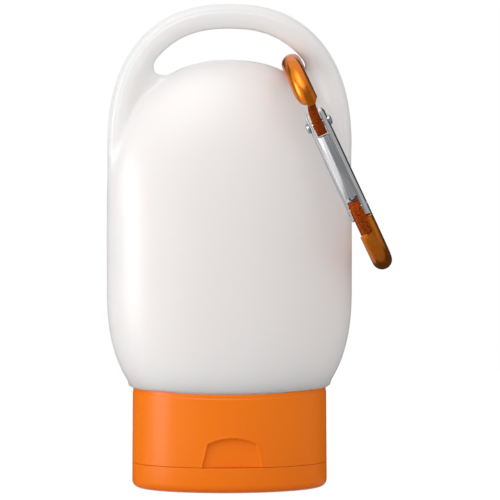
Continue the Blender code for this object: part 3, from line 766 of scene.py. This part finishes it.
# The spout from the deck's top down its bore and up its outside, and the plug that stops it, as
# (radius, height) pairs in mm
DECK_TOP, DECK_UNDER, LID_FLOOR = 7.0 * MM, 5.7 * MM, 1.3 * MM
SPOUT = ((1.6, 7.0), (1.6, 4.0), (1.7, 3.9), (2.3, 3.9), (2.5, 4.0), (2.6, 4.2), (2.6, 5.7))
PLUG = ((1.5, 1.3), (1.3, 1.5), (1.3, 4.7), (1.2, 4.9), (1.0, 5.0))


def closure_base_mesh(sizes):
    """Skirt with rounded rim and fine lip line, thumb notch, deck and spout."""
    foot, edge = BASE_FOOT, SEAM_EDGE
    places = [wall_ring(edge, foot), wall_ring(edge * 0.3, foot + edge * 0.3)]
    places += [wall_ring(0, z) for z in stepped(foot + edge, RIM_DIP_START, FINE_STEP)]
    places += [wall_ring(0, z) for z in stepped(12.0 * MM, 17.0 * MM, 1.0 * MM)]
    lip = CLOSURE_HEIGHT - 0.75 * MM
    line = ((0.0, -0.16), (0.02, -0.08), (0.09, 0.0), (0.1, 0.08))
    places += [wall_ring(inset * MM, lip + up * MM) for inset, up in line]
    rounding = sizes.rim_rounding
    for pull, drop in quarter(10):
        places.append(wall_ring(0.1 * MM + rounding * pull, CLOSURE_HEIGHT - rounding * drop))
    inner = sizes.skirt_wall + NOTCH_DEPTH
    places += [
        wall_ring(sizes.skirt_wall, CLOSURE_HEIGHT - 0.02 * MM, False),
        wall_ring(inner, CLOSURE_HEIGHT - 2.0 * MM, False),
        wall_ring(inner, DECK_TOP, False),
        *(disc_ring(radius * MM, z * MM) for radius, z in SPOUT),
        wall_ring(inner, DECK_UNDER, False),
        wall_ring(inner, foot + edge, False),
        wall_ring(inner - edge, foot, False),
    ]
    return mesh_from(lofted(len(WALL_ANGLES), places, closed=True), "closure_base_skin")


def closure_lid_mesh(sizes):
    """The lid: a shallow oval cup with a rounded edge that the bottle stands on, and its plug."""
    top, edge, rounding = LID_TOP, SEAM_EDGE, sizes.lid_rounding
    places = [disc_ring(1.0 * MM, 0.0), wall_ring(6 * MM, 0.0, False)]
    places += [wall_ring(rounding * pull, rounding * rise) for rise, pull in quarter(9)]
    places += [wall_ring(0, z) for z in stepped(rounding + 0.08 * MM, top - edge, FINE_STEP)]
    inner = sizes.skirt_wall + NOTCH_DEPTH
    places += [
        wall_ring(edge * 0.3, top - edge * 0.3),
        wall_ring(edge, top),
        wall_ring(inner - edge, top, False),
        wall_ring(inner, top - edge, False),
        wall_ring(inner, LID_FLOOR, False),
        *(disc_ring(radius * MM, z * MM) for radius, z in PLUG),
    ]
    return mesh_from(lofted(len(WALL_ANGLES), places), "closure_lid_skin")


def upright_edges(bm):
    """The edges of a hinge web that run up it."""
    return [e for e in bm.edges if abs((e.verts[0].co - e.verts[1].co).z) > 0.1 * MM]


def web_strip(low, high):
    """One web of the film hinge, cut into many steps along its height."""
    bm = cuboid(low, high)
    rounded(bm, upright_edges(bm), 0.08 * MM)
    bmesh.ops.subdivide_edges(bm, edges=upright_edges(bm), cuts=23, use_grid_fill=True)
    bmesh.ops.recalc_face_normals(bm, faces=bm.faces)
    return mesh_from(bm, "hinge_web")


# Snap hook


def gate_line(along):
    """How far in front of the hook's seat its gate line runs, at a distance down the hook."""
    return -GATE_OFFSET + math.tan(GATE_LEAN) * along


def rod_mesh(radius_of_rod, sides=48):
    """The bent rod: a disc pulled along the straights and spun round the bends."""
    tongue_at = GATE_PIVOT - TONGUE_END * math.cos(GATE_LEAN)
    corners = [
        (gate_line(NOSE_END), -NOSE_END),
        (gate_line(0), 0),
        (SPINE_OFFSET, 0),
        (SPINE_OFFSET, -HOOK_LENGTH),
        (gate_line(HOOK_LENGTH), -HOOK_LENGTH),
        (gate_line(tongue_at), -tongue_at),
    ]
    corners = [Vector((0, y, z)) for y, z in corners]
    bends = [6.6 * MM, 4.2 * MM, 6.2 * MM, 6.2 * MM]
    bm = bmesh.new()
    heading = (corners[1] - corners[0]).normalized()
    turn = AXIS_Z.rotation_difference(heading).to_matrix()
    bmesh.ops.create_circle(
        bm,
        cap_ends=True,
        segments=sides,
        radius=radius_of_rod,
        matrix=Matrix.Translation(corners[0]) @ turn.to_4x4(),
    )
    front = list(bm.faces)
    here = corners[0]
    for corner, after, radius in zip(corners[1:-1], corners[2:], bends):
        arriving = (corner - here).normalized()
        leaving = (after - corner).normalized()
        angle = arriving.angle(leaving)
        start = corner - arriving * radius * math.tan(angle / 2)
        front = push_faces(bm, front, start - here)
        inward = (leaving - arriving * arriving.dot(leaving)).normalized()
        spun = bmesh.ops.spin(
            bm,
            geom=front,
            cent=start + inward * radius,
            axis=arriving.cross(leaving).normalized(),
                angle=angle,
            steps=max(6, round(math.degrees(angle) / 4)),
            use_merge=False,
        )
        bmesh.ops.delete(bm, geom=front, context="FACES_ONLY")
        front = [g for g in spun["geom_last"] if isinstance(g, bmesh.types.BMFace)]
        here = corner + leaving * radius * math.tan(angle / 2)
    push_faces(bm, front, corners[-1] - here)
    bmesh.ops.holes_fill(bm, edges=[e for e in bm.edges if e.is_boundary])
    bmesh.ops.remove_doubles(bm, verts=bm.verts, dist=MERGE_REACH)
    bmesh.ops.recalc_face_normals(bm, faces=bm.faces)
    bm.transform(HOOK_FRAME)
    return mesh_from(bm, "hook_rod")


def push_faces(bm, faces, step):
    """Extrudes end faces along a straight of the rod and returns the new end."""
    pushed = pushed_out(bm, faces, step)
    bmesh.ops.delete(bm, geom=faces, context="FACES_ONLY")
    return [g for g in pushed if isinstance(g, bmesh.types.BMFace)]


def block(low, high, matrix=GATE_FRAME):
    """A square cutter in the gate's frame, from two corners in mm."""
    bm = cuboid(Vector(low) * MM, Vector(high) * MM)
    bm.transform(matrix)
    return mesh_from(bm, "block")


def round_bar(profile, axis, matrix=GATE_FRAME, sides=40):
    """A solid spun about an axis of the gate's frame from (radius, distance) pairs, in mm."""
    bm = bmesh.new()
    points = [(0.0, profile[0][1]), *profile, (0.0, profile[-1][1])]
    verts = [bm.verts.new((r * MM, 0, z * MM)) for r, z in points]
    edges = [bm.edges.new(pair) for pair in zip(verts, verts[1:])]
    bmesh.ops.spin(
        bm,
        geom=verts + edges,
        cent=(0, 0, 0),
        axis=(0, 0, 1),
        angle=math.tau,
        steps=sides,
        use_merge=True,
    )
    bmesh.ops.remove_doubles(bm, verts=bm.verts, dist=MERGE_REACH)
    bmesh.ops.recalc_face_normals(bm, faces=bm.faces)
    if axis == "X":
        bm.transform(Matrix.Rotation(math.pi / 2, 4, "Y"))
    bm.transform(matrix)
    return mesh_from(bm, "round_bar")


def eased(mesh, width):
    """The mesh with its sharp edges broken by a small round."""
    bm = bmesh.new()
    bm.from_mesh(mesh)
    bmesh.ops.remove_doubles(bm, verts=bm.verts, dist=2 * MERGE_REACH)
    bmesh.ops.dissolve_degenerate(bm, edges=bm.edges, dist=2 * MERGE_REACH)
    inner = [e for e in bm.edges if len(e.link_faces) == 2]
    sharp = [e for e in inner if e.calc_face_angle(0) > math.radians(40)]
    rounded(bm, sharp, width, clamp=True)
    return mesh_from(bm, mesh.name)


def side_cutter(outline, reach):
    """A prism through the hook's thickness from (across, along) pairs of the gate's frame, mm."""
    return flat_plate([(x * MM, z * MM) for x, z in outline], reach * MM, GATE_FRAME)


def cross_bar(radius, reach, along=0.0):
    """A round bar across the gate, in mm, at a distance up it from its rivet."""
    place = GATE_FRAME @ Matrix.Translation(AXIS_Z * along * MM)
    return round_bar(((radius, -reach), (radius, reach)), "X", place)


# For the cutters of the rod, all in the gate's frame and mm: past the rod on every side, and
# where the nose blade begins
FAR = 3.6
BLADE_FOOT = 12.6

# The nose's shoulder beside the blade, as (radius, distance) pairs
SHOULDER_ROUND = (
    (0.5, 20.42), (0.95, 20.6), (1.3, 20.95), (1.53, 21.4), (1.7, 22.1), (1.8, 23.0), (1.9, 25.0),
)

# What is milled off at each side of the nose blade, as (across, along) pairs
BLADE_LEFT = (
    (-FAR, BLADE_FOOT), (-1.08, BLADE_FOOT), (-1.06, 15.0), (-0.94, 17.9),
    (-0.8, 19.2), (-0.44, 20.4), (-0.44, 24.5), (-FAR, 24.5),
)
BLADE_RIGHT = (
    (FAR, BLADE_FOOT), (0.76, BLADE_FOOT), (0.78, 18.0), (0.86, 19.4),
    (1.04, 20.2), (1.72, 21.05), (FAR, 21.05),
)

# Where the tongue's front flat runs out into the round of the rod, as (across, along) pairs
RUN_OUT = ((-FAR, 3.7), (FAR, 3.7), (FAR, -3.3), (-FAR, -6.4))


def hook_frame_mesh(sizes):
    """The rod with its round shoulder, nose blade, tongue, catch notch and pivot hole."""
    tongue = 2.05 / 2
    wide = GATE_FRAME @ Matrix.Diagonal((1.0, 1.5, 1.0, 1.0))
    flat = GATE_FRAME @ Matrix.Rotation(math.radians(-2.6), 4, "X")
    front_flat = block((-FAR, -FAR, -7.0), (FAR, -1.55, 3.6), flat)
    cutters = [
        # The nose blade's two sides and its front
        cut_by(side_cutter(BLADE_LEFT, FAR), [round_bar(SHOULDER_ROUND, "Z", wide)]),
        side_cutter(BLADE_RIGHT, FAR),
        block((-FAR, -FAR, BLADE_FOOT), (FAR, -1.5, 20.1)),
        # The tongue's slanted front and its two sides
        cut_by(front_flat, [side_cutter(RUN_OUT, FAR + 1)], "INTERSECT"),
        block((-FAR, -FAR, -4.9), (TONGUE_MIDDLE - tongue, FAR, 3.5)),
        block((TONGUE_MIDDLE + tongue, -FAR, -2.02), (FAR, FAR, 3.5)),
        # The catch notch, which opens towards the back, and the rivet's hole
        cross_bar(1.0, FAR, CATCH_AT),
        block((-FAR, 0.0, CATCH_AT - 1), (FAR, FAR, CATCH_AT + 1)),
        cross_bar(PIN_HOLE_RADIUS, FAR),
    ]
    return eased(cut_by(rod_mesh(sizes.rod_diameter / 2), cutters), 0.1 * MM)


def mark_milled_faces(mesh):
    """Gives the flats of the nose blade and the tongue the second material."""
    back = GATE_FRAME.inverted()
    for face in mesh.polygons:
        at = back @ face.center / MM
        on_blade = 12.0 < at.z < 20.3 and -1.2 < at.x < 1.1
        on_tongue = -4.6 < at.z < 4.0 and -1.45 < at.x < 0.75 and at.y < 2.5
        if on_blade or on_tongue and (back.to_3x3() @ face.normal).y < 0.3:
            face.material_index = 1


def gate_mesh(sizes):
    """The gate bar with its slots for the nose and the tongue, its rounded heel and spring bore."""
    radius = sizes.gate_diameter / 2 / MM
    tip = ((0.0, 18.3), (0.12, 18.75), (0.4, 19.1), (0.8, 19.25))
    profile = ((radius, -radius), *((radius - pull, z) for pull, z in tip))
    nose, tongue = 1.03, 1.15
    # The slots for the nose and the tongue, the spring's bore and the two pins' holes
    cutters = [
        block((NOSE_MIDDLE - nose, -4, 14.3), (NOSE_MIDDLE + nose, 4, 21)),
        block((TONGUE_MIDDLE - tongue, -4, -4), (TONGUE_MIDDLE + tongue, 4, 2.4)),
        round_bar(((1.0, 1.4), (1.0, 9.2)), "Z"),
        cross_bar(PIN_HOLE_RADIUS, 4),
        cross_bar(PIN_HOLE_RADIUS, 4, CATCH_AT),
    ]
    cut = cut_by(round_bar(profile, "Z", sides=48), cutters)
    heel = round_bar(((1.9, -4), (1.9, 4)), "X", sides=64)
    kept = cut_by(heel, [block((-4, -4, 0), (4, 4, 22))], "UNION")
    return eased(cut_by(cut, [kept], "INTERSECT"), 0.07 * MM)


def catch_pin():
    """The pin across the gate's tip, with a low domed head clenched at each end."""
    seat, shank, head, height = 1.98, 0.75, 0.95, 0.5
    upper = [(shank, seat), (head, seat)]
    for turn in range(75, -1, -15):
        share = math.radians(turn)
        upper.append((head * math.sin(share), seat + height * math.cos(share) ** 0.8))
    lower = [(r, -z) for r, z in reversed(upper)]
    place = GATE_FRAME @ Matrix.Translation(AXIS_Z * CATCH_AT * MM)
    return round_bar(lower + upper, "X", place, 28)


def flush_rivet():
    """The pivot rivet, ground flush with the round of the gate."""
    shank = round_bar(((0.78, -2.1), (0.78, 2.1)), "X", sides=28)
    return cut_by(shank, [round_bar(((1.97, -1.0), (1.97, 1.0)), "Z", sides=48)], "INTERSECT")


# Settings and operators


LENGTH = {"min": 0.1 * MM, "unit": "LENGTH"}
COLOUR = {"subtype": "COLOR", "size": 4, "min": 0.0, "max": 1.0}


class BottleSizes(bpy.types.PropertyGroup):
    """Sizes of the bottle that a user would change."""

    bar_thickness: FloatProperty(
        name="Loop thickness",
        description="How thick the carry loop's bar is, seen from the front",
        default=2 * BAR_HALF_THICKNESS,
        **LENGTH,
    )
    bar_depth: FloatProperty(
        name="Loop depth",
        description="How deep the carry loop's bar is, from front to back",
        default=BAR_DEPTH,
        **LENGTH,
    )
    web_thickness: FloatProperty(
        name="Web thickness",
        description="How thick the web between the loop and the body is",
        default=WEB_THICKNESS,
        **LENGTH,
    )
    skin_voxel: FloatProperty(
        name="Skin fineness",
        description="Steps that the fillets between body and loop are worked out in",
        default=SKIN_VOXEL,
        **LENGTH,
    )
    skirt_wall: FloatProperty(
        name="Closure wall",
        description="Wall of the closure's skirt",
        default=1.2 * MM,
        **LENGTH,
    )
    rim_rounding: FloatProperty(
        name="Closure rim",
        description="Rounding of the closure's rim under the bottle",
        default=0.16 * MM,
        **LENGTH,
    )
    lid_rounding: FloatProperty(
        name="Lid rounding",
        description="Rounding of the lid's edge that the bottle stands on",
        default=1.45 * MM,
        **LENGTH,
    )
    rod_diameter: FloatProperty(
        name="Hook rod",
        description="Diameter of the hook's rod",
        default=3.6 * MM,
        **LENGTH,
    )
    gate_diameter: FloatProperty(
        name="Hook gate",
        description="Diameter of the hook's gate",
        default=3.9 * MM,
        **LENGTH,
    )


class FinishColours(bpy.types.PropertyGroup):
    """Colours of the bottle's finishes."""

    bottle: FloatVectorProperty(
        name="Bottle",
        description="Milky white of the blow-moulded bottle",
        **COLOUR,
        default=linear("EFECEB"),
    )
    closure: FloatVectorProperty(
        name="Closure",
        description="Orange of the flip-top closure",
        **COLOUR,
        default=linear("FD8002"),
    )
    lotion: FloatVectorProperty(
        name="Lotion",
        description="Off-white of the lotion inside",
        **COLOUR,
        default=linear("F6F1E4"),
    )
    rod: FloatVectorProperty(
        name="Hook rod",
        description="Orange dye of the anodised rod",
        **COLOUR,
        default=linear("E98418"),
    )
    gate: FloatVectorProperty(
        name="Gate",
        description="Bare aluminium of the gate",
        **COLOUR,
        default=linear("E8E9EC"),
    )
    small_parts: FloatVectorProperty(
        name="Rivet, pin and spring",
        description="Bright steel of the small parts",
        **COLOUR,
        default=linear("C9C9CB"),
    )


class BuildBottle(bpy.types.Operator):
    """Build the bottle with its carry loop, and finish the lotion in it"""

    bl_idname = "sunscreen_bottle.build_bottle"
    bl_label = "Bottle"

    def execute(self, context):
        sizes, colours = context.scene.bottle_sizes, context.scene.bottle_colours
        white = white_polyethylene(colours.bottle)
        skin = bottle_skin(sizes)
        show(skin, "bottle_skin", white, "bottle", ["bottle_shell"], 50.0)
        finish_node("lotion_fill", lotion_cream(colours.lotion))
        return {"FINISHED"}


class BuildClosure(bpy.types.Operator):
    """Build the closure's base and lid with the film hinge between them"""

    bl_idname = "sunscreen_bottle.build_closure"
    bl_label = "Closure"

    def execute(self, context):
        sizes, colours = context.scene.bottle_sizes, context.scene.bottle_colours
        orange = orange_polypropylene(colours.closure)
        base, lid = closure_base_mesh(sizes), closure_lid_mesh(sizes)
        show(base, "closure_base_skin", orange, "bottle", ["closure_base"], 60.0)
        show(lid, "closure_lid_skin", orange, "lid", ["closure_lid"], 60.0)
        for node in ("hinge_strap_left", "hinge_strap_right", "hinge_snap_strap"):
            low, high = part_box(node)
            grow = AXIS_Z * 0.25 * MM
            mesh = web_strip(low - grow, high + grow)
            web = show(mesh, node + "_web", orange, None, [node])
            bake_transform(web)
        return {"FINISHED"}


class BuildHook(bpy.types.Operator):
    """Build the snap hook: its rod, gate, rivet and catch pin, and finish its spring set"""

    bl_idname = "sunscreen_bottle.build_hook"
    bl_label = "Snap hook"

    def execute(self, context):
        sizes, colours = context.scene.bottle_sizes, context.scene.bottle_colours
        rod = anodised_aluminium(colours.rod)
        bare = drawn_aluminium(colours.gate)
        steel = bright_steel(colours.small_parts)
        mesh = hook_frame_mesh(sizes)
        show(mesh, "hook_frame", rod, "carabiner", ["carabiner_frame"])
        mesh.materials.append(milled_anodised_aluminium(colours.rod))
        mark_milled_faces(mesh)
        show(gate_mesh(sizes), "hook_gate", bare, "gate", ["carabiner_gate"])
        show(flush_rivet(), "hook_rivet", steel, "gate", ["gate_pivot_rivet"])
        show(catch_pin(), "hook_catch_pin", steel, "gate", ["gate_catch_pin"])
        finish_node("gate_spring", steel)
        finish_node("gate_plunger", steel)
        return {"FINISHED"}


def finish_node(node, material):
    """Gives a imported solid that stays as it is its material."""
    piece = frame["nodes"][node]
    piece.data.materials.clear()
    piece.data.materials.append(material)


class BuildStage(bpy.types.Operator):
    """Build the pale floor, the plain studio light and the camera"""

    bl_idname = "sunscreen_bottle.build_stage"
    bl_label = "Stage"

    def execute(self, context):
        make_floor()
        make_world(context.scene)
        make_lamps()
        make_camera(context.scene)
        context.scene.view_settings.view_transform = "Standard"
        return {"FINISHED"}


def camera_like_ray(tree):
    """1 for a ray from the camera, a reflection or a refraction, else 0."""
    rays = add_node(tree, "ShaderNodeLightPath").outputs
    seen = rays["Is Camera Ray"]
    for kind in ("Is Glossy Ray", "Is Transmission Ray"):
        inputs = {0: seen, 1: rays[kind]}
        seen = add_node(tree, "ShaderNodeMath", inputs, operation="MAXIMUM").outputs[0]
    return seen


def make_floor():
    """A pale floor that reads white to the camera and keeps the bottle's soft shadow."""
    bm = bmesh.new()
    bmesh.ops.create_circle(bm, cap_ends=True, segments=64, radius=0.15)
    bmesh.ops.translate(bm, vec=(0, 0.11, -0.02 * MM), verts=bm.verts)
    mesh = mesh_from(bm, "floor")
    material = bpy.data.materials.new("matt_white_paper")
    tree = empty_tree(material)
    paper = add_node(tree, "ShaderNodeBsdfDiffuse", {"Color": linear("D8D8D8")})
    glow = add_node(tree, "ShaderNodeEmission", {"Color": (1, 1, 1, 1), "Strength": 1.15})
    inputs = {0: camera_like_ray(tree), 1: 0.83}
    share = add_node(tree, "ShaderNodeMath", inputs, operation="MULTIPLY").outputs[0]
    inputs = {"Fac": share, 1: paper.outputs[0], 2: glow.outputs[0]}
    mixed = add_node(tree, "ShaderNodeMixShader", inputs)
    add_node(tree, "ShaderNodeOutputMaterial", {"Surface": mixed.outputs[0]})
    mesh.materials.append(material)
    floor = linked("floor", mesh)


def make_world(scene):
    """White to the eye and in reflections, and a soft grey for the light that it gives."""
    world = bpy.data.worlds.new("white_studio")
    scene.world = world
    tree = empty_tree(world)
    inputs = {"Value": camera_like_ray(tree), "To Min": 0.68, "To Max": 1.0}
    strength = add_node(tree, "ShaderNodeMapRange", inputs).outputs["Result"]
    glow = add_node(tree, "ShaderNodeBackground", {"Color": (1, 1, 1, 1), "Strength": strength})
    add_node(tree, "ShaderNodeOutputWorld", {"Surface": glow.outputs[0]})


# Name, place, the point it shines at, width and height, power in watts
SOFTBOXES = (
    ("key_softbox", (-0.643, -0.30, 0.085), (0, 0, 0.035), (0.28, 0.32), 1.4),
    ("front_softbox", (-0.164, -0.451, 0.62), (0, 0, 0.045), (0.36, 0.6), 1.25),
)

# Name, place, width and height, shade and, where it isn't 1, glow; those on the table lie flat
CARDS = (
    ("front_card", (0.10, -0.95, 0.0), (1.0, 1.9), "8C8C8C"),
    ("right_front_card", (0.62, -0.62, 0.0), (0.7, 1.9), "8C8C8C"),
    ("right_card", (0.85, 0.10, 0.0), (0.9, 1.9), "B4B4B4"),
    ("right_back_card", (0.52, 0.62, 0.0), (1.1, 1.9), "303030"),
    ("left_back_card", (-0.60, 0.54, 0.0), (1.3, 1.9), "404040"),
    ("ceiling_card", (-0.05, 0.12, 0.92), (1.1, 1.2), "FFFFFF", 1.1),
    ("high_front_card", (-0.22, -0.75, 0.80), (1.3, 0.6), "FFFFFF", 2.0),
    ("table_back_card", (0.27, 0.25, 0.0003), (0.6, 0.5), "303030"),
    ("table_left_card", (-0.25, 0.25, 0.0003), (0.44, 0.5), "505050"),
    ("table_front_card", (0.22, -0.32, 0.0003), (0.5, 0.64), "9C9C9C"),
)


def make_lamps():
    """A softbox at the left, a weak one above, and the grey room that reflections show."""
    for softbox in SOFTBOXES:
        add_area(*softbox)
    for card in CARDS:
        add_card(*card)


def add_card(name, place, size, shade, glow=1.0):
    """A grey card that only reflections see, as a studio has round its table."""
    bm = bmesh.new()
    bmesh.ops.create_grid(bm, x_segments=1, y_segments=1, size=0.5)
    bmesh.ops.scale(bm, vec=(size[0], size[1], 1), verts=bm.verts)
    if not name.startswith("table"):
        away = Vector(place) - Vector((0, 0, 0.045))
        bm.transform(away.to_track_quat("Z", "Y").to_matrix().to_4x4())
    bmesh.ops.translate(bm, vec=place, verts=bm.verts)
    mesh = mesh_from(bm, name)
    material = bpy.data.materials.new(name)
    tree = empty_tree(material)
    light = add_node(tree, "ShaderNodeEmission", {"Color": linear(shade), "Strength": glow})
    add_node(tree, "ShaderNodeOutputMaterial", {"Surface": light.outputs[0]})
    mesh.materials.append(material)
    card = linked(name, mesh)
    card.visible_camera = card.visible_diffuse = card.visible_shadow = False


def add_area(name, place, target, size, power):
    """A soft rectangular lamp."""
    light = bpy.data.lights.new(name, "AREA")
    light.shape = "RECTANGLE"
    light.size, light.size_y = size
    light.energy = power
    aim(linked(name, light), Vector(place), Vector(target))


def aim(thing, place, target):
    """Puts a lamp or camera at a place, facing a target."""
    thing.location = place
    thing.rotation_euler = (place - target).to_track_quat("Z", "Y").to_euler()


CAMERA_AT = Vector((-0.024, -0.530, 0.068))
CAMERA_AIM = Vector((0.003723, 0, 0.043112))


def make_camera(scene):
    """A long lens, a little above and to the left, as the photograph was taken."""
    data = bpy.data.cameras.new("camera")
    data.lens = 210.65
    camera = linked("camera", data)
    aim(camera, CAMERA_AT, CAMERA_AIM)
    scene.camera = camera


class BottlePanel(bpy.types.Panel):
    """Lists the steps that build the bottle"""

    bl_label = "Sunscreen bottle"
    bl_idname = "VIEW3D_PT_sunscreen_bottle"
    bl_space_type = "VIEW_3D"
    bl_region_type = "UI"
    bl_category = "Bottle"

    def draw(self, context):
        layout = self.layout
        scene = context.scene
        for group in (scene.bottle_sizes, scene.bottle_colours):
            for name in group.__annotations__:
                layout.prop(group, name)
        for step in STEPS:
            layout.operator(step.bl_idname)


STEPS = (BuildBottle, BuildClosure, BuildHook, BuildStage)
CLASSES = (BottleSizes, FinishColours, *STEPS, BottlePanel)


def register():
    for cls in CLASSES:
        bpy.utils.register_class(cls)
    bpy.types.Scene.bottle_sizes = PointerProperty(type=BottleSizes)
    bpy.types.Scene.bottle_colours = PointerProperty(type=FinishColours)


def unregister():
    del bpy.types.Scene.bottle_colours
    del bpy.types.Scene.bottle_sizes
    for cls in reversed(CLASSES):
        bpy.utils.unregister_class(cls)


def main():
    """Builds everything."""
    register()
    bpy.ops.sunscreen_bottle.build_bottle()
    bpy.ops.sunscreen_bottle.build_closure()
    bpy.ops.sunscreen_bottle.build_hook()
    bpy.ops.sunscreen_bottle.build_stage()


if __name__ == "__main__":
    main()
